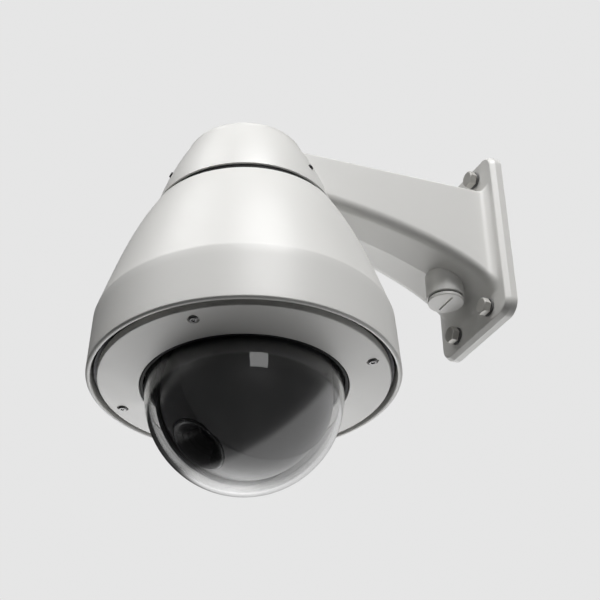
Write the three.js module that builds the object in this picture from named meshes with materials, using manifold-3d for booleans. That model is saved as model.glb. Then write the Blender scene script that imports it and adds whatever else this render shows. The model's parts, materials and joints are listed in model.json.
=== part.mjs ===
// Outdoor pan-tilt-zoom dome camera hanging from a cast wall arm.
// Millimetres, +Z up, +Y into the wall. The origin is the middle of the wall plate's back face.
import * as THREE from "three";
import { mergeVertices } from "three/addons/utils/BufferGeometryUtils.js";
import Module from "manifold-3d";

const wasm = await Module();
wasm.setup();

// ---- driving dimensions -------------------------------------------------------------------

const GAP = 0.3;                  // clearance between touching pieces
const ROUND = 32;                 // sides of a large turned piece
const SMALL = 16;                 // sides of a small turned piece

const REACH = 222.4;              // wall plate's back to the dome's axis
const DOME_Z = -179.1;            // dome opening's plane below the plate's middle

const PLATE = { halfWidth: 51.3, halfHeight: 81.6, rim: 6.1, slope: 4.5, inset: 2.5, corner: 13 };
const PLATE_DEPTH = PLATE.rim + PLATE.slope;
const BOLT = { x: 25, z: 66.5, hole: 4.6, shank: 4, flats: 13, head: 6.2 };
const WASHER = { r: 7.6, thick: 1.8 };

const ARM = { tipTop: 40.4, rootTop: 45.2, tipHalf: 25.5, rootHalf: 38.5, edge: 3, fillet: 9, draft: 0.078, wall: 5, flare: 7 };
const ARM_START = -REACH + 20;    // where the arm leaves the cap, inside it
const ARM_END = -PLATE_DEPTH;     // where the arm meets the plate's front

const CAP = { bottom: 157.9, shoulder: 214.5, top: 219.5, foot: 71.2, brow: 47.9, bulge: 8.2, wall: 4.5 };
const WEB = { low: 169, high: 176 };          // web inside the cap that carries the dome

const SHROUD = { lip: 6.3, crease: 50.9, top: 150.4, lipR: 118, creaseR: 115.1, topR: 74.8, wall: 3.2 };
const OPENING = 78.2;             // radius of the trim ring's opening
const RING = { outer: 109.6, rise: 4.2, thick: 3, skirt: 9.7 };
const RING_SCREW = { r: 99.5, head: 3.4, pocket: 4.4 };
const BUBBLE = { centre: -6.3, outer: 74.3, wall: 3, flange: 86, low: 5, high: 7.4 };
const SEAL = { inner: 75.4, lip: 77.6, lipLow: 0.6, outer: 94.5, top: 9.6 };   // round the bubble's flange

const BOSS = { y: -37.5, x: 2, r: 16, bottom: 127.6 };
const PLUG = { face: 4.4, back: 1.4, r: 15.2, thread: 13, slot: 10.7 };
const NIPPLE = { outer: 22, bore: 17, low: 133, high: 181 };

const BALL = { outer: 66, wall: 2.2, slot: 24.9, top: 56.6 };   // eyeball cover on the pan stage
const DRUM = { outer: 62.6, wall: 1.6, half: 24, back: 22, window: 22.4 };   // camera drum on the tilt axis
const LENS = { bore: 19.3, barrel: 21.5, foot: 8, mouth: 56, elementR: 10, elementBack: 39.9 };
const TILT_REST = 52.5;           // lens below the horizon as built, in degrees

const PAN_GEAR = { teeth: 60, module: 1.5, low: 60.3, high: 65.3, bore: 14 };
const PAN_PINION = { teeth: 12, azimuth: 135 };
const TILT_GEAR = { teeth: 48, module: 0.8, near: 24.4, far: 27.4, bore: 4.2 };
const TILT_PINION = { teeth: 12 };

const CHASSIS = { low: 68, high: 71, r: 82, postR: 66, postTop: 132.7 };
const FAN = { x: -46, y: -38, half: 20, low: 71.3, high: 82.3, bore: 18.2 };

// ---- materials ----------------------------------------------------------------------------

const material = (color, roughness, metalness = 0) =>
  new THREE.MeshStandardMaterial({ color, roughness, metalness });

const PAINT = material(0xe2e1dd, 0.55);
const STEEL = material(0x9b9c9c, 0.35, 1);
const ZINC = material(0xb9b8b4, 0.4, 0.8);
const RUBBER = material(0x1c1c1c, 0.8);
const BLACK = material(0x1b1c1e, 0.45);
const LINER = material(0x303134, 0.4);
const CLEAR = material(0xdfe4e6, 0.05);
const BOARD = material(0x1f4a33, 0.6);
const ALLOY = material(0xa9abac, 0.45, 0.9);
const DARK_COAT = material(0x2a2a2b, 0.55);
const BRASS = material(0xb08d4a, 0.35, 1);
const NYLON = material(0xe6e1d2, 0.6);
const GLASS = material(0x1a2430, 0.05);

// ---- geometry helpers ---------------------------------------------------------------------

function solid(geometry) {
  const bare = geometry.clone();
  bare.deleteAttribute("normal");
  bare.deleteAttribute("uv");
  const merged = mergeVertices(bare, 1e-4);
  return new wasm.Manifold(new wasm.Mesh({
    numProp: 3,
    vertProperties: new Float32Array(merged.attributes.position.array),
    triVerts: new Uint32Array(merged.index.array),
  }));
}

function geometryOf(manifold) {
  const mesh = manifold.getMesh();
  const geometry = new THREE.BufferGeometry();
  geometry.setAttribute("position", new THREE.BufferAttribute(mesh.vertProperties, 3));
  geometry.setIndex(new THREE.BufferAttribute(mesh.triVerts, 1));
  return geometry;
}

const join = (first, ...others) => others.reduce((sum, next) => sum.add(next), first);
const cut = (first, ...others) => others.reduce((sum, next) => sum.subtract(next), first);

// A turned piece about +Z from a closed outline of [radius, height] points.
function turned(outline, sides = ROUND) {
  const points = outline.map(([r, h]) => new THREE.Vector2(r, h));
  points.push(points[0].clone());
  const geometry = new THREE.LatheGeometry(points, sides).rotateX(Math.PI / 2);
  return solid(geometry);
}

const tube = (inner, outer, low, high, sides = ROUND) =>
  turned([[inner, low], [outer, low], [outer, high], [inner, high]], sides);

// A disc or rod about +Z; its ends are centred on the axis.
function rod(r, low, high, sides = SMALL) {
  const geometry = new THREE.CylinderGeometry(r, r, high - low, sides).rotateX(Math.PI / 2);
  return solid(geometry.translate(0, 0, (low + high) / 2));
}

function block(x0, x1, y0, y1, z0, z1) {
  const geometry = new THREE.BoxGeometry(x1 - x0, y1 - y0, z1 - z0);
  return solid(geometry.translate((x0 + x1) / 2, (y0 + y1) / 2, (z0 + z1) / 2));
}

const ball = (r, sides = 24) => solid(new THREE.SphereGeometry(r, sides, sides / 2).rotateX(Math.PI / 2));

// A plate of any outline in XY, from low to high along Z.
function slab(shape, low, high) {
  const geometry = new THREE.ExtrudeGeometry(shape, { depth: high - low, bevelEnabled: false, curveSegments: 3 });
  return solid(geometry.translate(0, 0, low));
}

// Skin through equal rings of points that follow each other along +Y, closed at both ends.
function loft(rings) {
  const flat = rings[0].map((p) => new THREE.Vector2(p.x, p.z));
  const ordered = THREE.ShapeUtils.isClockWise(flat) ? rings.map((ring) => ring.slice().reverse()) : rings;
  const count = flat.length;
  const positions = ordered.flat().flatMap((p) => [p.x, p.y, p.z]);
  const index = [];
  for (let ring = 0; ring + 1 < rings.length; ring += 1) {
    for (let k = 0; k < count; k += 1) {
      const a = ring * count + k;
      const b = ring * count + ((k + 1) % count);
      index.push(a, a + count, b, b, a + count, b + count);
    }
  }
  const last = (rings.length - 1) * count;
  const end = ordered[0].map((p) => new THREE.Vector2(p.x, p.z));
  for (const [a, b, c] of THREE.ShapeUtils.triangulateShape(end, [])) {
    index.push(a, b, c, last + a, last + c, last + b);
  }
  const geometry = new THREE.BufferGeometry();
  geometry.setAttribute("position", new THREE.Float32BufferAttribute(positions, 3));
  geometry.setIndex(index);
  return solid(geometry);
}

function roundedRect(halfX, halfY, r) {
  const shape = new THREE.Shape();
  shape.absarc(halfX - r, halfY - r, r, 0, Math.PI / 2);
  shape.absarc(r - halfX, halfY - r, r, Math.PI / 2, Math.PI);
  shape.absarc(r - halfX, r - halfY, r, Math.PI, 1.5 * Math.PI);
  shape.absarc(halfX - r, r - halfY, r, 1.5 * Math.PI, 2 * Math.PI);
  return shape;
}

function circleShape(r, sides = SMALL) {
  const shape = new THREE.Shape();
  for (let k = 0; k < sides; k += 1) {
    const angle = (2 * Math.PI * k) / sides;
    const x = r * Math.cos(angle);
    const y = r * Math.sin(angle);
    if (k === 0) shape.moveTo(x, y);
    else shape.lineTo(x, y);
  }
  return shape;
}

// A spur gear's outline: straight-sided teeth with backlash. `first` and `count` give a sector,
// whose untoothed part is a plain round hub.
function gearShape(teeth, module, offset, first = 0, count = teeth, hub = 0) {
  const pitch = (2 * Math.PI) / teeth;
  const radius = (teeth * module) / 2;
  const root = radius - 1.25 * module;
  const tip = radius + 0.85 * module;
  const points = [];
  for (let k = first; k < first + count; k += 1) {
    const middle = offset + k * pitch;
    const corners = [[root, -0.34], [tip, -0.12], [tip, 0.12], [root, 0.34]];
    for (const [r, turn] of corners) points.push([r, middle + turn * pitch]);
  }
  if (count < teeth) {
    const from = offset + (first + count) * pitch;
    const to = offset + (first + teeth - 1) * pitch;
    for (let k = 0; k <= 12; k += 1) points.push([hub, from + ((to - from) * k) / 12]);
  }
  return new THREE.Shape(points.map(([r, a]) => new THREE.Vector2(r * Math.cos(a), r * Math.sin(a))));
}

const hexagon = (flats) => circleShape(flats / Math.sqrt(3), 6);

const at = (x, y, z) => (piece) => piece.translate([x, y, z]);

// ---- scene graph --------------------------------------------------------------------------

const group = new THREE.Group();
const dome = new THREE.Group();              // the dome's axis, heights from the opening's plane
dome.position.set(0, -REACH, DOME_Z);
const tilt = new THREE.Group();              // the tilt axis along X, the lens looking along +Z
tilt.position.set(0, 0, BUBBLE.centre);
tilt.rotation.x = Math.PI / 2 + THREE.MathUtils.degToRad(TILT_REST);
dome.add(tilt);
group.add(dome);

function add(parent, name, manifold, look) {
  const mesh = new THREE.Mesh(geometryOf(manifold), look);
  mesh.name = name;
  parent.add(mesh);
  return mesh;
}

// ---- wall arm: plate, arm and cap in one hollow casting -----------------------------------

const armT = (y) => (y - ARM_START) / (ARM_END - ARM_START);
const armHalf = (y) => THREE.MathUtils.lerp(ARM.tipHalf, ARM.rootHalf, armT(y));
const armTop = (y) => THREE.MathUtils.lerp(ARM.tipTop, ARM.rootTop, armT(y));

// The underside's centre line falls in a curve from the cap to the foot of the arm.
const KEEL = new THREE.CubicBezierCurve(
  new THREE.Vector2(ARM_START, -2), new THREE.Vector2(-112, -8),
  new THREE.Vector2(-37, -27), new THREE.Vector2(ARM_END, -54));

function armSection(y, keelZ, grow) {
  const half = armHalf(y) + grow;
  const top = armTop(y) + grow;
  const keel = keelZ - grow;
  const side = [];
  for (let k = 0; k <= 2; k += 1) {
    const a = (Math.PI / 4) * k;
    side.push([half - ARM.edge + ARM.edge * Math.sin(a), top - ARM.edge + ARM.edge * Math.cos(a)]);
  }
  const foot = keel + ARM.draft * (half - ARM.fillet);
  for (let k = 0; k <= 3; k += 1) {
    const a = (Math.PI / 6) * k;
    side.push([half - ARM.fillet + ARM.fillet * Math.cos(a), foot + ARM.fillet - ARM.fillet * Math.sin(a)]);
  }
  const outline = [...side, [0, keel], ...side.slice().reverse().map(([x, z]) => [-x, z])];
  return outline.map(([x, z]) => new THREE.Vector3(x, y, z));
}

function armBody() {
  const steps = 10;
  const rings = [];
  for (let k = 0; k <= steps; k += 1) {
    const point = KEEL.getPoint(k / steps);
    if (point.x < ARM_END - ARM.flare) rings.push(armSection(point.x, point.y, 0));
  }
  for (let k = 0; k <= 3; k += 1) {                        // fillet where the arm meets the plate
    const a = (Math.PI / 6) * k;
    const y = ARM_END - ARM.flare + ARM.flare * Math.sin(a);
    const keel = KEEL.getPoint(Math.min(1, 0.93 + 0.07 * Math.sin(a))).y;
    rings.push(armSection(y, keel, ARM.flare * (1 - Math.cos(a))));
  }
  rings.push(armSection(ARM_END + 1, KEEL.getPoint(1).y, ARM.flare));
  return loft(rings);
}

function armHollow() {
  const rings = [0.02, 0.35, 0.6, 0.8, 0.93, 1.02].map((t) => {
    const point = KEEL.getPoint(Math.min(1, t));
    const y = t > 1 ? 1 : point.x;
    const half = armHalf(point.x) - ARM.wall;
    const low = point.y + ARM.wall + 5;
    const high = armTop(point.x) - ARM.wall;
    return [[half, high], [half, low], [-half, low], [-half, high]].map(([x, z]) => new THREE.Vector3(x, y, z));
  });
  return loft(rings);
}

function plateBody() {
  const rings = [];
  for (const [y, inset] of [[-PLATE_DEPTH, PLATE.inset], [-PLATE.rim, 0], [0, 0]]) {
    const shape = roundedRect(PLATE.halfWidth - inset, PLATE.halfHeight - inset, PLATE.corner - inset);
    rings.push(shape.getPoints(4).slice(0, -1).reverse().map((p) => new THREE.Vector3(p.x, y, p.y)));
  }
  return loft(rings);
}

const capRadius = (h) => {
  const t = (h - CAP.bottom) / (CAP.shoulder - CAP.bottom);
  return CAP.foot + (CAP.brow - CAP.foot) * t + CAP.bulge * t * (1 - t);
};

function capOutline(inset, low, high, edge) {
  const outline = [];
  for (let k = 0; k <= 4; k += 1) {
    const h = low + ((high - edge - low) * k) / 4;
    outline.push([capRadius(h) - inset, h]);
  }
  const rim = outline[outline.length - 1][0];
  for (let k = 1; k <= 3; k += 1) {
    const a = (Math.PI / 6) * k;
    outline.push([rim - edge + edge * Math.cos(a), high - edge + edge * Math.sin(a)]);
  }
  return [[0, low], ...outline, [0, high]];
}

const SEAL_GROOVE = { halfX: 37.5, halfZ: 54, width: 4, depth: 3.4, middleZ: -4 };

function wallArm() {
  const onDome = at(0, -REACH, DOME_Z);
  const cap = onDome(turned(capOutline(0, CAP.bottom, CAP.top, CAP.top - CAP.shoulder)));
  const boss = at(BOSS.x, BOSS.y, DOME_Z)(rod(BOSS.r, BOSS.bottom, 156, 24));
  const body = join(cap, armBody(), plateBody(), boss);
  const upper = onDome(turned(capOutline(CAP.wall, WEB.high, CAP.top - CAP.wall, 2), 24));
  const lower = onDome(turned(capOutline(CAP.wall, CAP.bottom - 1, WEB.low, 0.5), 24));
  const spigot = onDome(rod(NIPPLE.outer + GAP, WEB.low - 1, WEB.high + 1, 24));
  const conduit = at(BOSS.x, BOSS.y, DOME_Z)(rod(13.4, BOSS.bottom - 1, 168, 16));
  const groove = grooveRing(SEAL_GROOVE.width, SEAL_GROOVE.depth, 1);
  const holes = [];
  for (const x of [-BOLT.x, BOLT.x]) {
    for (const z of [-BOLT.z, BOLT.z]) {
      holes.push(rod(BOLT.hole, -2, PLATE_DEPTH + 2, 10).rotate([90, 0, 0]).translate([x, 0, z]));
    }
  }
  const sockets = CAP_SCREWS.map((angle) => capScrewPlace(rod(2.6, -8, 4, 8), angle));
  return cut(body, upper, lower, spigot, armHollow(), conduit, groove, ...holes, ...sockets);
}

function grooveRing(width, depth, proud) {
  const { halfX, halfZ, middleZ } = SEAL_GROOVE;
  const outer = roundedRect(halfX, halfZ, 8);
  outer.holes.push(roundedRect(halfX - width, halfZ - width, 8 - width));
  return slab(outer, -depth, proud).rotate([-90, 0, 0]).translate([0, 0, middleZ]);
}

// The three set screws that lock the dome in the cap, square to the cap's slope.
const CAP_SCREWS = [-90, 30, 150];
const CAP_SCREW_HEIGHT = 180;

function capScrewPlace(piece, angle) {
  const rise = (capRadius(CAP_SCREW_HEIGHT) - capRadius(CAP_SCREW_HEIGHT + 1));
  const slope = THREE.MathUtils.radToDeg(Math.atan(rise));
  return piece.rotate([0, 90 - slope, 0])
    .translate([capRadius(CAP_SCREW_HEIGHT), 0, CAP_SCREW_HEIGHT])
    .rotate([0, 0, angle])
    .translate([0, -REACH, DOME_Z]);
}

function addArm() {
  add(group, "wall_arm", wallArm(), PAINT);
  const cord = grooveRing(SEAL_GROOVE.width - 2 * GAP, SEAL_GROOVE.depth - GAP, 0).scale([0.992, 1, 0.995]);
  add(group, "wall_seal", cord.translate([0, 0, -0.02]), RUBBER);
  const headLow = PLATE_DEPTH + WASHER.thick + 2 * GAP;
  let number = 1;
  for (const z of [BOLT.z, -BOLT.z]) {
    for (const x of [-BOLT.x, BOLT.x]) {
      const head = slab(hexagon(BOLT.flats), headLow, headLow + BOLT.head);
      const bolt = join(head, rod(BOLT.shank, 0, headLow + 1, 10)).rotate([90, 0, 0]);
      add(group, `wall_bolt_${number}`, bolt.translate([x, 0, z]), ZINC);
      const washer = tube(BOLT.shank + GAP, WASHER.r, PLATE_DEPTH + GAP, headLow - GAP, SMALL);
      add(group, `wall_washer_${number}`, washer.rotate([90, 0, 0]).translate([x, 0, z]), RUBBER);
      number += 1;
    }
  }
  CAP_SCREWS.forEach((angle, k) => {
    const screw = cut(rod(2.3, -5, 1.2, 8), slab(hexagon(2.5), -0.8, 2));
    add(group, `cap_screw_${k + 1}`, capScrewPlace(screw, angle), BLACK);
  });
  const face = BOSS.bottom - PLUG.face;
  const back = BOSS.bottom - PLUG.back;
  const plug = join(rod(PLUG.r, face, back, 24), rod(PLUG.thread, face + 1, BOSS.bottom + 14));
  const slot = block(-PLUG.slot, PLUG.slot, -0.9, 0.9, face - 1, face + 2);
  add(group, "conduit_plug", at(BOSS.x, BOSS.y, DOME_Z)(cut(plug, slot)), PAINT);
  const seal = tube(PLUG.thread + GAP, PLUG.r - 0.4, back + GAP, BOSS.bottom - GAP, SMALL);
  add(group, "plug_seal", at(BOSS.x, BOSS.y, DOME_Z)(seal), RUBBER);
}

// ---- dome shell ---------------------------------------------------------------------------

// Outline radius of the sun shroud: a nearly straight band below a bell-shaped upper part.
function shroudRadius(h) {
  if (h <= SHROUD.crease) {
    const t = (h - SHROUD.lip) / (SHROUD.crease - SHROUD.lip);
    return SHROUD.lipR + (SHROUD.creaseR - SHROUD.lipR) * t;
  }
  const t = (SHROUD.top - h) / (SHROUD.top - SHROUD.crease);
  return SHROUD.topR + (SHROUD.creaseR - SHROUD.topR) * t + t * (1 - t) * (12.8 + 6.5 * (1 - 2 * t));
}

function sunShroud() {
  const outer = [7.3, SHROUD.crease, 66, 82, 100, 118, 136].map((h) => [shroudRadius(h), h]);
  const inner = [124, 88, SHROUD.crease, 7.4].map((h) => [shroudRadius(h) - SHROUD.wall, h]);
  const neck = [[SHROUD.topR, SHROUD.top], [31.5, SHROUD.top], [31.5, SHROUD.top - 3]];
  const lip = [[114.3, 7.4], [114.3, 5.55], [115.4, 5.2], [117.2, 5.5]];
  return turned([...lip, ...outer, ...neck, [shroudRadius(145) - SHROUD.wall, SHROUD.top - 3], ...inner]);
}

function innerHousing() {
  const outline = [
    [84, 10], [112, 10], [112, 13.5], [106, 13.5], [106, 50], [72, 136], [30.5, 136], [30.5, 147],
    [NIPPLE.outer + GAP, 147], [NIPPLE.outer + GAP, 133], [70.2, 133], [103, 49.5], [103, 13.5], [84, 13.5],
  ];
  return cut(turned(outline), ...ringScrewAngles().map((angle) => ringPlace(rod(1.9, -2, 16, 8), angle)));
}

function trimRing() {
  const face = [[OPENING, 0], [RING.outer - 1.2, RING.rise - 0.15], [RING.outer, RING.rise + 0.8]];
  const back = [[RING.outer, RING.skirt], [RING.outer - 3, RING.skirt], [RING.outer - 3, RING.rise + RING.thick],
    [OPENING + 3.2, RING.thick], [OPENING, RING.thick]];
  const screws = ringScrewAngles().map((angle) => ringPlace(rod(1.9, -12, 12, 8), angle));
  const pockets = ringScrewAngles().map((angle) => ringPlace(rod(RING_SCREW.pocket, -4, 1.2, 12), angle));
  return cut(turned([...face, ...back]), ...screws, ...pockets);
}

const ringScrewAngles = () => [0, 1, 2, 3].map((k) => 45 + 90 * k);

function ringPlace(piece, angle) {
  const h = (RING.rise * (RING_SCREW.r - OPENING)) / (RING.outer - OPENING);
  const slope = THREE.MathUtils.radToDeg(Math.atan2(RING.rise, RING.outer - OPENING));
  return piece.rotate([0, -slope, 0]).translate([RING_SCREW.r, 0, h]).rotate([0, 0, angle]);
}

function bubble() {
  const outline = [];
  const rim = Math.PI / 2;
  const steps = 7;
  for (let k = 0; k <= steps; k += 1) {
    const a = -rim + (rim * k) / steps;
    outline.push([BUBBLE.outer * Math.cos(a), BUBBLE.centre + BUBBLE.outer * Math.sin(a)]);
  }
  outline[0][0] = 0;
  outline.push([BUBBLE.outer + 0.3, BUBBLE.low], [BUBBLE.flange, BUBBLE.low], [BUBBLE.flange, BUBBLE.high],
    [BUBBLE.outer - BUBBLE.wall, BUBBLE.high]);
  for (let k = steps; k >= 0; k -= 1) {
    const a = -rim + (rim * k) / steps;
    const r = BUBBLE.outer - BUBBLE.wall;
    outline.push([k === 0 ? 0 : r * Math.cos(a), BUBBLE.centre + r * Math.sin(a)]);
  }
  return turned(outline);
}

// One moulded seal: a lip in the ring's opening, a web below the bubble's flange and a collar round it.
function bubbleSeal() {
  const web = BUBBLE.low - GAP;
  const collar = BUBBLE.flange + GAP;
  const over = BUBBLE.high + GAP;
  const seat = RING.thick + GAP;
  const slope = RING.rise / (RING.outer - OPENING - 6.2);          // back of the ring
  return turned([
    [SEAL.inner, SEAL.lipLow], [SEAL.lip, SEAL.lipLow], [SEAL.lip, seat], [OPENING + 3.2, seat],
    [SEAL.outer, seat + slope * (SEAL.outer - OPENING - 3.2)], [SEAL.outer, SEAL.top],
    [collar - 1.8, SEAL.top], [collar - 1.8, over], [collar, over], [collar, web],
    [SEAL.inner + 0.6, web], [SEAL.inner, web - 0.6],
  ]);
}

function addDome() {
  add(dome, "sun_shroud", sunShroud(), PAINT);
  add(dome, "neck_gasket", tube(34, 69.8, SHROUD.top + GAP, CAP.bottom - GAP), RUBBER);
  const nipple = tube(NIPPLE.bore, NIPPLE.outer, NIPPLE.low + 0.5, NIPPLE.high + 7, 24);
  add(dome, "pipe_nipple", nipple, STEEL);
  const nut = cut(slab(hexagon(56), WEB.high + GAP, WEB.high + 8), rod(NIPPLE.outer + GAP, WEB.high - 1, 190, 24));
  add(dome, "lock_nut", nut, STEEL);
  add(dome, "inner_housing", innerHousing(), DARK_COAT);
  add(dome, "trim_ring", trimRing(), PAINT);
  ringScrewAngles().forEach((angle, k) => {
    const head = cut(rod(RING_SCREW.head, -1.3, 0.9, 12), slab(hexagon(3), -2, 0));
    const screw = join(head, rod(1.6, 0.5, 10, 8));
    add(dome, `ring_screw_${k + 1}`, ringPlace(screw, angle), STEEL);
  });
  add(dome, "bubble_gasket", bubbleSeal(), RUBBER);
  add(dome, "dome_bubble", bubble(), CLEAR);
}

// ---- fixed works inside the housing -------------------------------------------------------

const polar = (r, degrees) => {
  const a = THREE.MathUtils.degToRad(degrees);
  return [r * Math.cos(a), r * Math.sin(a)];
};

const panCentres = ((PAN_GEAR.teeth + PAN_PINION.teeth) * PAN_GEAR.module) / 2;
const [PINION_X, PINION_Y] = polar(panCentres, PAN_PINION.azimuth);

// Posts that hang the chassis from the housing's top, through the main board.
function chassisPosts(r, low, high) {
  return [0, 90, 180, 270].map((angle) => {
    const [x, y] = polar(CHASSIS.postR, angle);
    return at(x, y, 0)(rod(r, low, high, 8));
  });
}

function chassis() {
  const plate = turned([[16.3, CHASSIS.low], [CHASSIS.r, CHASSIS.low], [CHASSIS.r, CHASSIS.high],
    [20.5, CHASSIS.high], [20.5, 77], [16.3, 77]]);
  const motorHole = at(PINION_X, PINION_Y, 0)(rod(6, CHASSIS.low - 1, CHASSIS.high + 1, 16));
  const fanHole = at(FAN.x, FAN.y, 0)(rod(15, CHASSIS.low - 1, CHASSIS.high + 1, 20));
  return join(cut(plate, motorHole, fanHole), ...chassisPosts(3, CHASSIS.low + 1, CHASSIS.postTop));
}

function fanRotor() {
  const hub = rod(7.5, FAN.low + 2.6, FAN.high - 0.6, 16);
  const blades = [];
  for (let k = 0; k < 7; k += 1) {
    const blade = block(6.5, 16.6, -0.7, 0.7, -3.4, 3.4).rotate([38, 0, 0]);
    blades.push(blade.rotate([0, 0, (360 / 7) * k]).translate([0, 0, FAN.low + 6.4]));
  }
  return join(hub, ...blades);
}

function fanFrame() {
  const frame = cut(slab(roundedRect(FAN.half, FAN.half, 3), FAN.low, FAN.high), rod(FAN.bore, FAN.low - 1, 90, 24));
  const spokes = [0, 120, 240].map((angle) => {
    return block(5, FAN.bore + 1, -1, 1, FAN.low, FAN.low + 1.8).rotate([0, 0, angle]);
  });
  return join(frame, rod(7, FAN.low, FAN.low + 2, 16), ...spokes);
}

function addWorks() {
  add(dome, "chassis_plate", chassis(), DARK_COAT);
  add(dome, "pan_bearing_outer", tube(12.8, 16, 67, 76, 16), STEEL);
  const body = slab(roundedRect(17.5, 17.5, 3), CHASSIS.high + GAP, 94);
  const motor = join(body, rod(5.5, CHASSIS.low, CHASSIS.high + 1, 16), rod(2.2, 66, CHASSIS.low + 1, 12));
  add(dome, "pan_motor", at(PINION_X, PINION_Y, 0)(motor), BLACK);
  add(dome, "slip_ring_stator", turned([[6.3, 78.6], [11, 78.6], [11, 100], [0, 100], [0, 97], [6.3, 97]], 16), BLACK);
  add(dome, "fan_frame", at(FAN.x, FAN.y, 0)(fanFrame()), BLACK);
  add(dome, "fan_rotor", at(FAN.x, FAN.y, 0)(fanRotor()), BLACK);
  const heater = block(30, 62, -45, -20, CHASSIS.high + GAP, 76);
  const fins = [0, 1, 2, 3, 4].map((k) => block(31 + 7 * k, 33 + 7 * k, -45, -20, 75, 86));
  add(dome, "heater", join(heater, ...fins), ALLOY);
  const board = cut(rod(78, 104, 105.6, 32), rod(12, 100, 110), ...chassisPosts(3.5, 100, 110));
  add(dome, "main_board", board, BOARD);
  const relay = block(8, 24, -20, -4, 121, 133 - 1.5);
  const coil = at(-18, 12, 0)(rod(9, 121, 130, 20));
  const terminals = block(-26, 26, 26, 36, 121, 130);
  add(dome, "power_board", join(block(-38, 38, -38, 38, 120, 121.6), relay, coil, terminals), BOARD);
}

// ---- pan stage ----------------------------------------------------------------------------

// Half of the eyeball cover: a ball below the tilt axis, a straight skirt above it.
function cheek(side) {
  const profile = (r) => {
    const outline = [];
    for (let k = 0; k <= 8; k += 1) {
      const a = -Math.PI / 2 + (Math.PI / 16) * k;
      outline.push([k === 0 ? 0 : r * Math.cos(a), BUBBLE.centre + r * Math.sin(a)]);
    }
    return outline;
  };
  const outer = [...profile(BALL.outer), [BALL.outer, BALL.top], [0, BALL.top]];
  const inner = [...profile(BALL.outer - BALL.wall), [BALL.outer - BALL.wall, BALL.top + 1], [0, BALL.top + 1]];
  const half = side > 0 ? block(BALL.slot, 70, -70, 70, -80, 70) : block(-70, -BALL.slot, -70, 70, -80, 70);
  return cut(turned(outer), turned(inner)).intersect(half);
}

function yoke(side) {
  const z = BUBBLE.centre;
  const arm = slab(roundedRect(13, 30, 8), 0, 3).rotate([90, 0, 90]).translate([28.2, 0, z + 18]);
  const rise = block(28.2, 31.2, -13, 13, z + 20, BALL.top);
  const foot = block(28.2, 44, -13, 13, BALL.top - 3, BALL.top);
  const bore = rod(6.3, 0, 60, 20).rotate([0, 90, 0]).translate([0, 0, z]);
  const pinionHole = rod(3, 0, 60, 12).rotate([0, 90, 0]).translate([0, tiltPinion.y, z + tiltPinion.z]);
  const piece = cut(join(arm, rise, foot), bore, pinionHole);
  return side > 0 ? piece : piece.mirror([1, 0, 0]);
}

const tiltCentres = ((TILT_GEAR.teeth + TILT_PINION.teeth) * TILT_GEAR.module) / 2;
const tiltPinion = { y: 0, z: tiltCentres };     // straight above the tilt axis

function tiltMotor() {
  const can = rod(12, 31.5, 47, 20);
  const shaft = rod(1.9, 28, 32, 10);
  return join(can, shaft).rotate([0, 90, 0]).translate([0, tiltPinion.y, BUBBLE.centre + tiltPinion.z]);
}

function addPanStage() {
  const turntable = turned([[0, 57], [BALL.outer - 0.5, 57], [BALL.outer - 0.5, 60], [9, 60], [9, 78], [5.8, 78],
    [5.8, 82], [0, 82]]);
  add(dome, "turntable", turntable, DARK_COAT);
  add(dome, "pan_bearing_inner", tube(9.3, 12, 67, 76, 16), STEEL);
  const gear = slab(gearShape(PAN_GEAR.teeth, PAN_GEAR.module, gearPhase), PAN_GEAR.low, PAN_GEAR.high);
  add(dome, "pan_gear", cut(gear, rod(PAN_GEAR.bore, 50, 70, 16)), NYLON);
  const pinion = slab(gearShape(PAN_PINION.teeth, PAN_GEAR.module, pinionPhase), PAN_GEAR.low, PAN_GEAR.high);
  add(dome, "pan_pinion", at(PINION_X, PINION_Y, 0)(pinion), BRASS);
  for (const [name, side] of [["right", 1], ["left", -1]]) {
    add(dome, `eyeball_cheek_${name}`, cheek(side), LINER);
    add(dome, `yoke_${name}`, yoke(side), ALLOY);
    const bush = tube(4.3, 6, 0, 4, 12).rotate([0, 90, 0]).translate([27.7, 0, BUBBLE.centre]);
    add(dome, `tilt_bush_${name}`, side > 0 ? bush : bush.mirror([1, 0, 0]), BRASS);
  }
  add(dome, "tilt_motor", tiltMotor(), BLACK);
  const shape = gearShape(TILT_PINION.teeth, TILT_GEAR.module, Math.PI / TILT_PINION.teeth);
  const small = slab(shape, TILT_GEAR.near, TILT_GEAR.far).rotate([90, 0, 90]);
  add(dome, "tilt_pinion", small.translate([0, tiltPinion.y, BUBBLE.centre + tiltPinion.z]), BRASS);
}

// The big pan gear has a tooth on the line to the pinion, and the pinion has a gap there.
const gearPhase = THREE.MathUtils.degToRad(PAN_PINION.azimuth);
const pinionPhase = gearPhase + Math.PI + Math.PI / PAN_PINION.teeth;

// ---- camera on the tilt axis --------------------------------------------------------------

// In this group +Z is the lens axis and X the tilt axis. World up is at this angle from +Y to +Z.
const UP = Math.PI - (Math.PI / 2 + THREE.MathUtils.degToRad(TILT_REST)) + Math.PI / 2;

function drumShell() {
  const outer = ball(DRUM.outer).intersect(block(-DRUM.half, DRUM.half, -70, 70, -DRUM.back, 70));
  const inner = ball(DRUM.outer - DRUM.wall)
    .intersect(block(-DRUM.half + DRUM.wall, DRUM.half - DRUM.wall, -70, 70, -DRUM.back - 1, 70));
  const lensHole = rod(DRUM.window, 20, 70, 24);
  const axleHole = rod(4.3, -30, 30, 16).rotate([0, 90, 0]);
  return cut(outer, inner, lensHole, axleHole);
}

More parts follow.
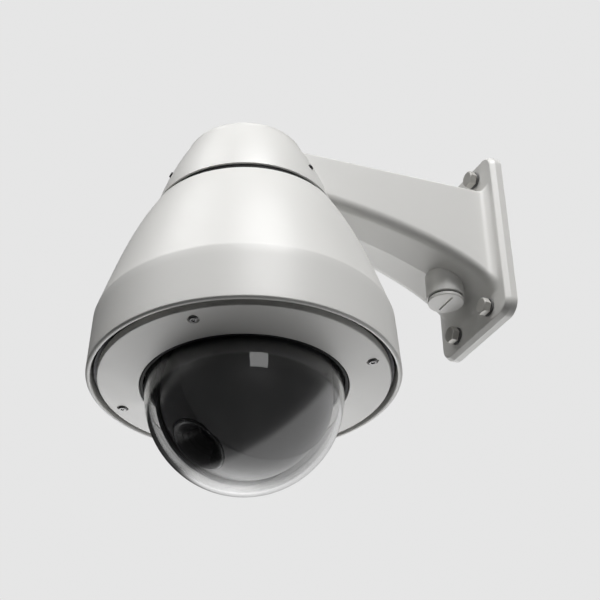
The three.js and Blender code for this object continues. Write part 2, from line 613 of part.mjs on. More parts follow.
function lensCell(r, low, high, crown) {
  const outline = [[0, low - crown]];
  for (let k = 1; k <= 2; k += 1) {
    const t = k / 2;
    outline.push([r * 0.8 * t, low - crown * (1 - t * t)]);
  }
  outline.push([r, low], [r, high], [r * 0.8, high]);
  outline.push([r * 0.4, high + crown * 0.75], [0, high + crown]);
  return turned(outline, SMALL);
}

// Front ring of the lens, with a cone that leads in to the small front element and holds its rim.
function lensHood() {
  const lip = LENS.elementBack + 3.7;              // clear of the element's rim
  const inside = LENS.bore - 0.7;
  return turned([
    [inside, LENS.mouth + GAP], [21.2, LENS.mouth + GAP], [22, 57], [22, 59], [21.2, 59.8], [20, 59.8],
    [19, 58.6], [9.6, lip + 1.6], [8, lip + 1.6], [8, lip], [10.8, lip], [inside, LENS.mouth - 1.4],
  ], 24);
}

function addCamera() {
  add(tilt, "camera_drum", drumShell(), LINER);
  const half = DRUM.half - DRUM.wall - 0.6;
  const edge = Math.sqrt((DRUM.outer - DRUM.wall) ** 2 - DRUM.back ** 2 - half ** 2) - 1;
  add(tilt, "drum_back", block(-half, half, -edge, edge, -DRUM.back, -DRUM.back + 2), LINER);
  add(tilt, "lens_barrel", tube(LENS.bore, LENS.barrel, LENS.foot, LENS.mouth, 24), BLACK);
  add(tilt, "lens_ring", lensHood(), BLACK);
  const front = LENS.elementBack;
  add(tilt, "front_glass", lensCell(LENS.elementR, front, front + 3, 1.5), GLASS);
  add(tilt, "zoom_group", lensCell(18.8, 24, 28, 1.2), GLASS);
  add(tilt, "focus_group", lensCell(18.8, 12, 16, 1.2), GLASS);
  add(tilt, "filter_slide", block(-16.5, 7.5, -5.5, 5.5, 3, 4.2), GLASS);
  const sensor = join(block(-19, 19, -21, 21, -16, -14.4), block(-6, 6, -5, 5, -14.6, -12.4));
  add(tilt, "sensor_board", sensor, BOARD);
  for (const [name, side] of [["right", 1], ["left", -1]]) {
    const axle = join(rod(4, 19, 33.5, 16), rod(7, 19, 20.6, 16)).rotate([0, 90, 0]);
    add(tilt, `tilt_axle_${name}`, side > 0 ? axle : axle.mirror([1, 0, 0]), STEEL);
  }
  const first = -10;
  const sector = gearShape(TILT_GEAR.teeth, TILT_GEAR.module, UP, first, 21, 9);
  const gear = cut(slab(sector, TILT_GEAR.near, TILT_GEAR.far), rod(TILT_GEAR.bore, 20, 30, 16));
  add(tilt, "tilt_gear", gear.rotate([90, 0, 90]), NYLON);
}

addArm();
addDome();
addWorks();
addPanStage();
addCamera();

export default group;
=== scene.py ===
"""Looks of an outdoor dome camera on its wall arm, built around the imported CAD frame.

Outlines are in millimetres and become metres when a mesh is made. Dome heights are measured up
from the plane of the trim ring's opening, which is the lowest face of the CAD node trim_ring.
"""
import json
import math

import bmesh
import bpy
from mathutils import Matrix, Vector

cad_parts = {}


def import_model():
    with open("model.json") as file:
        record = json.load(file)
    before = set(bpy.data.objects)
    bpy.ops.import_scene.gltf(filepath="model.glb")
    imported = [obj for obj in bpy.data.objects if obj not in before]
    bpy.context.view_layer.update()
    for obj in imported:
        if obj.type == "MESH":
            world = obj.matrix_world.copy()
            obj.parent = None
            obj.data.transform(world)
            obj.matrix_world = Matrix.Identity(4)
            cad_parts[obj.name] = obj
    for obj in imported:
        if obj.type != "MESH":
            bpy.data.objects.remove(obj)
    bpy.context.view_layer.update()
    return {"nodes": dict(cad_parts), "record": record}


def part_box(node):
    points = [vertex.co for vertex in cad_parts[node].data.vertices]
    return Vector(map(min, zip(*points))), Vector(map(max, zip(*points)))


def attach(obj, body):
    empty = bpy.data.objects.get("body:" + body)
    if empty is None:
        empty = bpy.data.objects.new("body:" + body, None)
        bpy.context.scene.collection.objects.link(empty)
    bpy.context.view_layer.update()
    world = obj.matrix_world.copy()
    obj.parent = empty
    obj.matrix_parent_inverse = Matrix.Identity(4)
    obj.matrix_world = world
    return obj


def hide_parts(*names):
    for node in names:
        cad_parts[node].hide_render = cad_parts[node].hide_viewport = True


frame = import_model()

# ---- sizes, in millimetres ------------------------------------------------------------------

MM = 0.001
GAP = 0.3                               # between pieces that touch
FULL_TURN = 2 * math.pi
CREASE_ANGLE = math.radians(34)         # edges sharper than this stay crisp

PLATE = dict(half_width=51.3, half_height=81.6, rim=6.1, depth=10.6, inset=2.5, corner=13)
BOLT = dict(x=25, z=66.5, hole=4.6, shank=3.9, flats=13, head=6.2)
WASHER = dict(outer=7.6, inner=4.3, thick=1.8)
ARM = dict(tip_top=40.4, root_top=45.2, tip_half=25.5, root_half=38.5, edge=2.4, fillet=9,
           draft=0.078, wall=5, flare=7)
KEEL = ((-202.4, -2), (-112, -8), (-37, -27), (-10.6, -54))   # Bezier of (y, z) under the arm
CAP = dict(bottom=157.9, shoulder=214.5, top=219.5, foot=71.2, brow=47.9, bulge=8.2, wall=4.5)
CAP_SCREW = dict(azimuths=(-90, 30, 150), height=180, bore=2.6)
WEB = dict(low=169, high=176, hole=22.3)
SHROUD = dict(lip=6.3, crease=50.9, top=150.4, lip_r=118, crease_r=115.1, top_r=74.8, wall=3.2,
              bulge=12.8, skew=6.5)
RING = dict(opening=78.2, lip=3.2, outer=109.6, rise=4.2, thick=3, skirt=9.7, side=3)
RING_SCREW = dict(r=99.5, head=3.4, pocket=4.4, bore=1.9, azimuths=(45, 135, 225, 315))
BUBBLE = dict(centre=-6.3, outer=74.3, wall=3, flange=86, low=5, high=7.4)
SEAL = dict(inner=75.4, lip=77.6, lip_low=0.6, outer=94.5, top=9.6)
BOSS = dict(x=2, y=-37.5, r=16, bottom=127.6, bore=13.4)
PLUG = dict(face=4.4, back=1.4, r=15.2, thread=12.8, slot=10.7, slot_half=0.9, seal=14.8)
BALL = dict(outer=66, wall=2.2, slot=24.9, top=56.6)
DRUM = dict(outer=62.6, wall=1.2, half=23.6, edge=2.2, axle=4.4, back=-22, lens=22.4)
LENS_BODY = dict(bore=19.3, barrel=21.5, foot=8, mouth=56, element=10, element_back=39.9)
TILT_REST = 52.5                        # degrees that the lens looks below the horizon at rest

NOISE_SPAN = (0.15, 0.85)               # wider than a noise reaches, so that no level is cut off

# ---- studio: angles in degrees, azimuth from +X towards the wall ----------------------------

ROOM = dict(backdrop=0.79, dim=0.01, through=0.6)
FLOOR = dict(half=6000, corner=600, top=-1400, thick=3)      # in millimetres
GLOWS = (                               # azimuth, elevation, tightness, strength
    (160, -24, 22, 3.9),
    (160, -24, 10, 0.6),
    (-92, 32, 14, 0.40),
)
GLOW_IN_MIRROR = 0.3                    # share of the glows' light in sharp reflections
DARK_CARD = (153, 16, 45, -0.58)        # behind the dome, seen only straight through the bubble
SWEEP = dict(azimuth=121, elevation=-28, reach=54, edge=9, light=0.6)   # wide light with a clear edge
CAMERA = dict(                          # place in metres, then the way it looks
    at=(0.8208, -0.5914, -0.6807), azimuth=153.066, elevation=32.789, roll=-1.362, lens=82.8)
LAMP_DISTANCE = 4
SOFTBOXES = (                           # name, azimuth, elevation, width, height, light
    ("overhead_front", -5, 55, 26, 26, 3.4),
    ("overhead_left", -91, 60, 26, 26, 1.1),
    ("front", -9, 13, 19, 17, 0.3),
    ("left", -96, 24, 28, 22, 0.03),
)

# ---- places, from the frame -----------------------------------------------------------------

record = frame["record"]
BODY_OF = {n: body for body, names in record["behaviour"]["bodies"].items() for n in names}
SLOT_OF = {part["node"]: part["material_slot"] for part in record["subparts"]}

ring_low, ring_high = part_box("trim_ring")
DOME_AT = Vector(((ring_low.x + ring_high.x) / 2, (ring_low.y + ring_high.y) / 2, ring_low.z))
DOME = Matrix.Translation(DOME_AT)
TILT_AXIS = DOME @ Matrix.Translation((0, 0, BUBBLE["centre"] * MM))
LENS = TILT_AXIS @ Matrix.Rotation(math.radians(90 + TILT_REST), 4, "X")
SIDEWAYS = Matrix.Rotation(math.radians(90), 4, "Y")       # turns a piece's +Z to +X
OUT_OF_WALL = Matrix.Rotation(math.radians(90), 4, "X")    # turns a piece's +Z to -Y

# ---- outlines -------------------------------------------------------------------------------


def fillet(before, corner, after, radius, steps=5):
    """Points of the arc that rounds one corner of an outline."""
    here = Vector(corner)
    back = (Vector(before) - here).normalized()
    ahead = (Vector(after) - here).normalized()
    half = back.angle(ahead) / 2
    centre = here + (back + ahead).normalized() * (radius / math.sin(half))
    reach = radius / math.tan(half)
    start = here + back * reach - centre
    end = here + ahead * reach - centre
    first = math.atan2(start.y, start.x)
    sweep = (math.atan2(end.y, end.x) - first + math.pi) % FULL_TURN - math.pi
    angles = [first + sweep * k / steps for k in range(steps + 1)]
    return [tuple(centre + radius * Vector((math.cos(a), math.sin(a)))) for a in angles]


def rounded(corners):
    """A closed outline from (a, b) points, or (a, b, radius) for a rounded corner."""
    points = []
    for k, corner in enumerate(corners):
        if len(corner) == 2:
            points.append(corner)
            continue
        before = corners[k - 1][:2]
        after = corners[(k + 1) % len(corners)][:2]
        points += fillet(before, corner[:2], after, corner[2])
    return points


def arc(centre, radius, first, last, steps):
    """Points on a circle, from the first angle to the last, in degrees."""
    turn = [math.radians(first + (last - first) * k / steps) for k in range(steps + 1)]
    return [(centre[0] + radius * math.cos(a), centre[1] + radius * math.sin(a)) for a in turn]


def rounded_rect(half_x, half_y, radius, steps=6):
    corners = [(1, 1, 0), (-1, 1, 90), (-1, -1, 180), (1, -1, 270)]
    points = []
    for x, y, start in corners:
        centre = (x * (half_x - radius), y * (half_y - radius))
        points += arc(centre, radius, start, start + 90, steps)
    return points


def polygon(radius, sides, start=0.0):
    return [(radius * math.cos(start + FULL_TURN * k / sides),
             radius * math.sin(start + FULL_TURN * k / sides)) for k in range(sides)]


def bezier(points, t):
    s = 1 - t
    weights = (s ** 3, 3 * s * s * t, 3 * s * t * t, t ** 3)
    return tuple(sum(w * p[axis] for w, p in zip(weights, points)) for axis in (0, 1))


# ---- mesh making ----------------------------------------------------------------------------


def object_from(bm, name, place=Matrix.Identity(4)):
    """A mesh object in metres from a bmesh in millimetres."""
    bmesh.ops.remove_doubles(bm, verts=bm.verts, dist=1e-4)
    bmesh.ops.recalc_face_normals(bm, faces=bm.faces)
    bm.transform(place @ Matrix.Scale(MM, 4))
    mesh = bpy.data.meshes.new(name)
    bm.to_mesh(mesh)
    bm.free()
    obj = bpy.data.objects.new(name, mesh)
    bpy.context.scene.collection.objects.link(obj)
    return obj


def turned(name, outline, place=DOME, sides=128):
    """A solid of revolution about +Z from a closed outline of (radius, height) points."""
    bm = bmesh.new()
    rings = []
    for r, h in outline:
        if r < 1e-6:
            rings.append([bm.verts.new((0, 0, h))] * sides)
            continue
        rings.append([bm.verts.new((x, y, h)) for x, y in polygon(r, sides)])
    for low, high in zip(rings, rings[1:] + rings[:1]):
        for k in range(sides):
            after = (k + 1) % sides
            corners = [low[k], low[after], high[after], high[k]]
            distinct = list(dict.fromkeys(corners))
            if len(distinct) > 2:
                bm.faces.new(distinct)
    return object_from(bm, name, place)


def lofted(name, rings, place=Matrix.Identity(4)):
    """A solid through rings of equally many (x, y, z) points, closed at both ends."""
    bm = bmesh.new()
    loops = [[bm.verts.new(p) for p in ring] for ring in rings]
    count = len(loops[0])
    for low, high in zip(loops, loops[1:]):
        for k in range(count):
            after = (k + 1) % count
            bm.faces.new((low[k], low[after], high[after], high[k]))
    bm.faces.new(loops[0])
    bm.faces.new(loops[-1])
    return object_from(bm, name, place)


def slab(name, outline, low, high, place=Matrix.Identity(4)):
    return lofted(name, [[(x, y, h) for x, y in outline] for h in (low, high)], place)


def cylinder(name, r, low, high, place=Matrix.Identity(4), sides=64):
    return slab(name, polygon(r, sides), low, high, place)


def carve(target, tools, operation="DIFFERENCE"):
    """Cuts, joins or intersects target with each tool, and removes the tools."""
    for tool in tools:
        step = target.modifiers.new(operation.lower(), "BOOLEAN")
        step.operation = operation
        step.solver = "MANIFOLD"
        step.object = tool
    apply_modifiers(target)
    for tool in tools:
        bpy.data.objects.remove(tool)
    return target


def apply_modifiers(obj):
    bpy.context.view_layer.update()
    final = bpy.data.meshes.new_from_object(obj.evaluated_get(bpy.context.evaluated_depsgraph_get()))
    obj.modifiers.clear()
    obj.data = final


def smooth(obj, ridge=None):
    """Smooth shading with crisp edges, in which large faces keep their own direction.

    ridge says, from an edge's two ends, whether the edge stays crisp however shallow it is.
    """
    mesh = obj.data
    mesh.shade_smooth()
    mesh.set_sharp_from_angle(angle=CREASE_ANGLE)
    if ridge:
        sharp = mesh.attributes["sharp_edge"].data
        for edge in mesh.edges:
            if ridge(*[mesh.vertices[k].co for k in edge.vertices]):
                sharp[edge.index].value = True
    step = obj.modifiers.new("weighted", "WEIGHTED_NORMAL")
    step.keep_sharp = True
    apply_modifiers(obj)
    return obj


def soften(obj, width, steps=2):
    """A small bevel on every crisp edge."""
    step = obj.modifiers.new("bevel", "BEVEL")
    step.width = width * MM
    step.segments = steps
    step.limit_method = "ANGLE"
    step.angle_limit = CREASE_ANGLE
    apply_modifiers(obj)
    return obj


# ---- materials ------------------------------------------------------------------------------


class Look:
    """A Principled material and the few node chains that the finishes share."""

    def __init__(self, name, color, roughness, metallic=0.0, specular=0.5):
        self.material = bpy.data.materials.new(name)
        self.material.use_nodes = True
        self.nodes = self.material.node_tree.nodes
        self.links = self.material.node_tree.links
        self.shader = self.nodes["Principled BSDF"]
        self.shader.inputs["Metallic"].default_value = metallic
        self.shader.inputs["Specular IOR Level"].default_value = specular
        self.coords = self.nodes.new("ShaderNodeTexCoord").outputs["Object"]
        self.color = color
        self.roughness = roughness

    def noise(self, scale, detail=2.0, stretch=None):
        """Noise on the piece's own coordinates; scale is in features per metre."""
        node = self.nodes.new("ShaderNodeTexNoise")
        node.inputs["Scale"].default_value = scale
        node.inputs["Detail"].default_value = detail
        if stretch:
            mapping = self.nodes.new("ShaderNodeMapping")
            mapping.inputs["Scale"].default_value = stretch
            self.links.new(self.coords, mapping.inputs["Vector"])
            self.links.new(mapping.outputs["Vector"], node.inputs["Vector"])
        else:
            self.links.new(self.coords, node.inputs["Vector"])
        return node.outputs["Fac"]

    def vary_roughness(self, source, spread):
        ranged = self.nodes.new("ShaderNodeMapRange")
        ranged.inputs["From Min"].default_value = NOISE_SPAN[0]
        ranged.inputs["From Max"].default_value = NOISE_SPAN[1]
        ranged.inputs["To Min"].default_value = max(0.02, self.roughness - spread)
        ranged.inputs["To Max"].default_value = min(1.0, self.roughness + spread)
        self.links.new(source, ranged.inputs["Value"])
        self.links.new(ranged.outputs["Result"], self.shader.inputs["Roughness"])

    def vary_color(self, source, spread):
        """Moves between a darker and a lighter shade of the base colour."""
        ramp = self.nodes.new("ShaderNodeValToRGB")
        for stop, place, factor in zip(ramp.color_ramp.elements, NOISE_SPAN, (1 - spread, 1 + spread)):
            stop.position = place
            stop.color = (*[min(1.0, c * factor) for c in self.color], 1)
        self.links.new(source, ramp.inputs["Fac"])
        self.links.new(ramp.outputs["Color"], self.shader.inputs["Base Color"])
        return ramp.outputs["Color"]

    def bump(self, source, height, strength=1.0, over=None):
        """A relief of the given height in metres, over another relief if there is one."""
        node = self.nodes.new("ShaderNodeBump")
        node.inputs["Strength"].default_value = strength
        node.inputs["Distance"].default_value = height
        self.links.new(source, node.inputs["Height"])
        if over:
            self.links.new(over, node.inputs["Normal"])
        self.links.new(node.outputs["Normal"], self.shader.inputs["Normal"])
        return node.outputs["Normal"]


def powder_coat():
    """Warm light grey satin powder coat: a fine pebble, faint clouding and a little handling wear."""
    look = Look("powder_coat", (0.70, 0.695, 0.675), 0.42)
    look.vary_roughness(look.noise(60, 4), 0.05)
    look.vary_color(look.noise(9, 3), 0.018)
    orange_peel = look.bump(look.noise(900, 2), 0.00006, 0.25)
    look.bump(look.noise(3200, 1), 0.00003, 0.35, over=orange_peel)
    return look.material


def cast_metal(name, color, roughness):
    """Bare or zinc-coated metal with a fine grain and soft blotches."""
    look = Look(name, color, roughness, metallic=1.0)
    look.vary_roughness(look.noise(220, 3), 0.08)
    look.vary_color(look.noise(90, 3), 0.07)
    look.bump(look.noise(1800, 2), 0.00004, 0.4)
    return look.material


def coated_bolt():
    look = Look("bolt_coating", (0.52, 0.51, 0.485), 0.42, metallic=0.35)
    look.vary_roughness(look.noise(400, 3), 0.08)
    look.vary_color(look.noise(260, 3), 0.06)
    look.bump(look.noise(2400, 2), 0.00005, 0.5)
    return look.material


def brushed_metal(name, color, roughness):
    """Turned or drawn metal with fine lines along the piece."""
    look = Look(name, color, roughness, metallic=1.0)
    lines = look.noise(300, 3, stretch=(1, 1, 14))
    look.vary_roughness(lines, 0.08)
    look.vary_color(look.noise(120, 2), 0.05)
    look.bump(lines, 0.00003, 0.5)
    return look.material


def moulded(name, color, roughness, specular=0.5, relief=0.3):
    """Moulded plastic or rubber: a fine spark-eroded grain and faint flow clouding."""
    look = Look(name, color, roughness, specular=specular)
    look.vary_roughness(look.noise(40, 2), 0.04)
    look.vary_color(look.noise(20, 2), 0.06)
    look.bump(look.noise(1400, 2), 0.00003, relief)
    return look.material


def circuit_board():
    """Green solder mask with a faint grid of tracks below it."""
    look = Look("solder_mask", (0.012, 0.075, 0.035), 0.35)
    tracks = look.nodes.new("ShaderNodeTexBrick")
    tracks.inputs["Scale"].default_value = 110
    look.links.new(look.coords, tracks.inputs["Vector"])
    look.vary_color(look.noise(500, 2), 0.25)
    look.vary_roughness(look.noise(200, 2), 0.06)
    look.bump(tracks.outputs["Fac"], 0.00004, 0.6)
    return look.material


def clear_plastic():
    """Clear optical plastic with faint waves. Lamps reach what is behind it."""
    look = Look("clear_dome_plastic", (1, 1, 1), 0.0)
    look.shader.inputs["Transmission Weight"].default_value = 1.0
    look.shader.inputs["IOR"].default_value = 1.58
    look.shader.inputs["Base Color"].default_value = (1, 1, 1, 1)
    look.shader.inputs["Roughness"].default_value = 0.0
    look.bump(look.noise(14, 1), 0.0001, 0.1)
    path = look.nodes.new("ShaderNodeLightPath")
    through = look.nodes.new("ShaderNodeBsdfTransparent")
    mix = look.nodes.new("ShaderNodeMixShader")
    output = look.nodes["Material Output"]
    look.links.new(path.outputs["Is Shadow Ray"], mix.inputs["Fac"])
    look.links.new(look.shader.outputs["BSDF"], mix.inputs[1])
    look.links.new(through.outputs["BSDF"], mix.inputs[2])
    look.links.new(mix.outputs["Shader"], output.inputs["Surface"])
    return look.material


def lens_glass():
    """Coated lens glass over a dark cell: deep blue-black with a sharp coat."""
    look = Look("coated_lens", (0.006, 0.008, 0.014), 0.06, specular=0.9)
    look.shader.inputs["Coat Weight"].default_value = 1.0
    look.shader.inputs["Coat Roughness"].default_value = 0.02
    look.shader.inputs["Coat Tint"].default_value = (0.72, 0.80, 1.0, 1)
    look.vary_roughness(look.noise(60, 2), 0.02)
    look.vary_color(look.noise(25, 2), 0.3)
    return look.material


LOOKS = {
    "paint": powder_coat(),
    "zinc": coated_bolt(),
    "rubber": moulded("black_rubber", (0.024, 0.024, 0.024), 0.72, specular=0.3),
    "washer": moulded("washer_rubber", (0.09, 0.09, 0.09), 0.6),
    "steel": brushed_metal("plain_steel", (0.52, 0.52, 0.53), 0.36),
    "screw": cast_metal("screw_steel", (0.26, 0.26, 0.26), 0.42),
    "black_oxide": cast_metal("black_oxide", (0.05, 0.05, 0.052), 0.42),
    "alloy": cast_metal("cast_alloy", (0.50, 0.51, 0.52), 0.45),
    "dark_coat": cast_metal("matt_black_coat", (0.04, 0.04, 0.042), 0.55),
    "black_plastic": moulded("black_plastic", (0.026, 0.026, 0.027), 0.22, relief=0.05),
    "hood": moulded("hood_coating", (0.022, 0.022, 0.023), 0.24, specular=0.6, relief=0.05),
    "liner": moulded("liner_plastic", (0.075, 0.075, 0.077), 0.3, specular=0.9, relief=0.03),
    "clear_dome": clear_plastic(),
    "board": circuit_board(),
    "brass": brushed_metal("brass", (0.60, 0.42, 0.16), 0.35),
    "nylon": moulded("natural_nylon", (0.62, 0.58, 0.47), 0.55),
    "optic": lens_glass(),
}


def dress(obj, look):
    """Gives a piece one material, in its one slot."""
    obj.data.materials.clear()
    obj.data.materials.append(LOOKS[look])


def stands_for(obj, node, look=None):
    """The piece takes the place, body and finish of a CAD node."""
    slot = SLOT_OF[node]
    dress(obj, look or slot)
    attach(obj, BODY_OF[node])
    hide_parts(node)


# ---- wall arm -------------------------------------------------------------------------------


def arm_section(y, keel, grow):
    """Outline of the arm at one distance from the wall, grown outwards near the plate."""
    share = (y - KEEL[0][0]) / (KEEL[3][0] - KEEL[0][0])
    half = ARM["tip_half"] + (ARM["root_half"] - ARM["tip_half"]) * share + grow
    top = ARM["tip_top"] + (ARM["root_top"] - ARM["tip_top"]) * share + grow
    low = keel - grow
    foot = low + ARM["draft"] * half
    side = fillet((0, top), (half, top), (half, low), ARM["edge"], 5)
    side += fillet((half, top), (half, foot), (0, low), ARM["fillet"], 9)
    outline = side + [(0, low)] + [(-x, z) for x, z in reversed(side)]
    return [(x, y, z) for x, z in outline]


def arm_body():
    """The tapering arm, which flares in a quarter round where it meets the plate."""
    end, flare = KEEL[3][0], ARM["flare"]
    along, across = 40, 8              # steps along the arm, and round the flare
    flare_from = 0.93                  # where the flare starts, as a share of the keel's curve
    rings = []
    for k in range(along + 1):
        y, keel = bezier(KEEL, k / along)
        if y < end - flare:
            rings.append(arm_section(y, keel, 0))
    for k in range(across + 1):
        angle = math.radians(90 * k / across)
        keel = bezier(KEEL, flare_from + (1 - flare_from) * math.sin(angle))[1]
        y = end - flare * (1 - math.sin(angle))
        rings.append(arm_section(y, keel, flare * (1 - math.cos(angle))))
    rings.append(arm_section(end + 1, KEEL[3][1], flare))
    return lofted("wall_arm_casting", rings)


def arm_hollow():
    rings = []
    for t in (0.02, 0.35, 0.6, 0.8, 0.93, 1.02):
        y, keel = bezier(KEEL, min(1, t))
        share = (y - KEEL[0][0]) / (KEEL[3][0] - KEEL[0][0])
        half = ARM["tip_half"] + (ARM["root_half"] - ARM["tip_half"]) * share - ARM["wall"]
        high = ARM["tip_top"] + (ARM["root_top"] - ARM["tip_top"]) * share - ARM["wall"]
        low = keel + 2 * ARM["wall"]
        depth = 1 if t > 1 else y
        rings.append([(half, depth, high), (half, depth, low), (-half, depth, low), (-half, depth, high)])
    return lofted("hollow", rings)


def plate_body():
    """The wall plate: square side, long chamfer and flat front, with softened edges."""
    depth, rim, inset = PLATE["depth"], PLATE["rim"], PLATE["inset"]
    profile = rounded([(0, 0), (0, rim, 1.2), (inset, depth, 1.4), (inset + 20, depth)])[:-1]
    rings = []
    for shrink, out in profile:
        radius = max(2, PLATE["corner"] - shrink)
        outline = rounded_rect(PLATE["half_width"] - shrink, PLATE["half_height"] - shrink, radius, 8)
        rings.append([(x, -out, z) for x, z in outline])
    return lofted("plate", rings)


def cap_radius(h):
    t = (h - CAP["bottom"]) / (CAP["shoulder"] - CAP["bottom"])
    return CAP["foot"] + (CAP["brow"] - CAP["foot"]) * t + CAP["bulge"] * t * (1 - t)


def cap_outline(inset, low, high, edge, steps):
    side = [low + (high - edge - low) * k / steps for k in range(steps + 1)]
    outline = [(cap_radius(h) - inset, h) for h in side]
    rim = outline[-1][0]
    outline += arc((rim - edge, high - edge), edge, 0, 90, 6)[1:]
    return [(0, low)] + outline + [(0, high)]


def seal_groove():
    """The groove for the wall seal, round the hollow in the plate's back."""
    half_x, half_z, corner = 37.5, 54, 8
    depth, width = 3.4, 4
    drop = 4                           # from the middle of the plate to the middle of the groove
    outer = slab("groove", rounded_rect(half_x, half_z, corner), -1, depth)
    inner = slab("core", rounded_rect(half_x - width, half_z - width, corner - width), -2, depth + 1)
    carve(outer, [inner])
    outer.data.transform(Matrix.Translation((0, 0, -drop * MM)) @ OUT_OF_WALL)
    return outer


def cap_screw_place(azimuth):
    height = CAP_SCREW["height"]
    slope = math.atan(cap_radius(height) - cap_radius(height + 1))
    out = Matrix.Translation((cap_radius(height) * MM, 0, height * MM))
    lean = Matrix.Rotation(math.radians(90) - slope, 4, "Y")
    return DOME @ Matrix.Rotation(math.radians(azimuth), 4, "Z") @ out @ lean


def under_arm_ridge(one, other):
    """The shallow ridge along the middle of the arm's underside."""
    return all(abs(p.x) < 1e-5 and p.z < 0 and -p.y > PLATE["depth"] * MM for p in (one, other))


def wall_arm():
    boss_at = Matrix.Translation((BOSS["x"] * MM, BOSS["y"] * MM, DOME_AT.z))
    cap = turned("cap", cap_outline(0, CAP["bottom"], CAP["top"], CAP["top"] - CAP["shoulder"], 24))
    low, r = BOSS["bottom"], BOSS["r"]
    boss = turned("boss", rounded([(0, low), (r, low, 1), (r, 156), (0, 156)]), boss_at, 96)
    body = carve(arm_body(), [cap, plate_body(), boss], "UNION")
    top = CAP["top"] - CAP["wall"]
    tools = [
        turned("upper", cap_outline(CAP["wall"], WEB["high"], top, 2, 6), sides=64),
        turned("lower", cap_outline(CAP["wall"], CAP["bottom"] - 1, WEB["low"], 0.5, 4), sides=64),
        cylinder("spigot", WEB["hole"], WEB["low"] - 1, WEB["high"] + 1, DOME),
        arm_hollow(),
        cylinder("conduit", BOSS["bore"], BOSS["bottom"] - 1, 168, boss_at),
        seal_groove(),
    ]
    for x in (-BOLT["x"], BOLT["x"]):
        for z in (-BOLT["z"], BOLT["z"]):
            spot = Matrix.Translation((x * MM, 0, z * MM)) @ OUT_OF_WALL
            tools.append(cylinder("hole", BOLT["hole"], -2, PLATE["depth"] + 2, spot, 32))
    for azimuth in CAP_SCREW["azimuths"]:
        tools.append(cylinder("socket", CAP_SCREW["bore"], -8, 4, cap_screw_place(azimuth), 24))
    stands_for(smooth(carve(body, tools), under_arm_ridge), "wall_arm")


def wall_bolts():
    head_low = PLATE["depth"] + WASHER["thick"] + 2 * GAP
    head_high = head_low + BOLT["head"]
    point = BOLT["flats"] / math.sqrt(3)
    flat = BOLT["flats"] / 2
    number = 1
    for z in (BOLT["z"], -BOLT["z"]):
        for x in (-BOLT["x"], BOLT["x"]):
            spot = Matrix.Translation((x * MM, 0, z * MM)) @ OUT_OF_WALL
            head = slab(f"hex_bolt_{number}", polygon(point, 6), head_low, head_high, spot)
            crown = [(0, head_low), (point, head_low), (point, head_high - 1.1), (flat * 0.93, head_high),
                     (0, head_high)]
            carve(head, [turned("crown", crown, spot, 48)], "INTERSECT")
            carve(head, [cylinder("shank", BOLT["shank"], 0.2, head_low + 1, spot, 32)], "UNION")
            stands_for(smooth(soften(head, 0.25)), f"wall_bolt_{number}")
            inner, outer = WASHER["inner"], WASHER["outer"]
            low, high = PLATE["depth"] + GAP, head_low - GAP
            section = rounded([(inner, low), (outer, low, 0.5), (outer, high, 0.6), (inner, high)])
            washer = turned(f"bolt_washer_{number}", section, spot, 48)
            stands_for(smooth(washer), f"wall_washer_{number}", "washer")
            number += 1


def cap_screws():
    for k, azimuth in enumerate(CAP_SCREW["azimuths"]):
        spot = cap_screw_place(azimuth)
        section = rounded([(0, -5), (2.3, -5), (2.3, 1.2, 0.4), (0, 1.2)])
        screw = turned(f"set_screw_{k + 1}", section, spot, 32)
        carve(screw, [slab("key", polygon(1.45, 6), -0.8, 2, spot)])
        stands_for(smooth(screw), f"cap_screw_{k + 1}")


def conduit_plug():
    spot = Matrix.Translation((BOSS["x"] * MM, BOSS["y"] * MM, DOME_AT.z))
    face, back = BOSS["bottom"] - PLUG["face"], BOSS["bottom"] - PLUG["back"]
    thread = PLUG["thread"]
    section = rounded([(0, face), (PLUG["r"], face, 0.9), (PLUG["r"], back, 0.3), (thread, back),
                       (thread, BOSS["bottom"] + 14), (0, BOSS["bottom"] + 14)])
    plug = turned("slotted_plug", section, spot, 96)
    half = PLUG["slot_half"]
    end = PLUG["slot"] - half
    slot = arc((end, 0), half, -90, 90, 6) + arc((-end, 0), half, 90, 270, 6)
    carve(plug, [slab("slot", slot, face - 1, face + 2, spot)])
    stands_for(smooth(plug), "conduit_plug")
    inner, outer = thread + 0.4, PLUG["seal"]
    low, high = back + GAP, BOSS["bottom"] - GAP
    seal = rounded([(inner, low), (outer, low, 0.3), (outer, high, 0.3), (inner, high)])
    stands_for(smooth(turned("plug_ring", seal, spot, 64)), "plug_seal")


# ---- dome shell -----------------------------------------------------------------------------


def shroud_radius(h):
    """A nearly straight band below a bell-shaped upper part."""
    if h <= SHROUD["crease"]:
        t = (h - SHROUD["lip"]) / (SHROUD["crease"] - SHROUD["lip"])
        return SHROUD["lip_r"] + (SHROUD["crease_r"] - SHROUD["lip_r"]) * t
    t = (SHROUD["top"] - h) / (SHROUD["top"] - SHROUD["crease"])
    bell = t * (1 - t) * (SHROUD["bulge"] + SHROUD["skew"] * (1 - 2 * t))
    return SHROUD["top_r"] + (SHROUD["crease_r"] - SHROUD["top_r"]) * t + bell


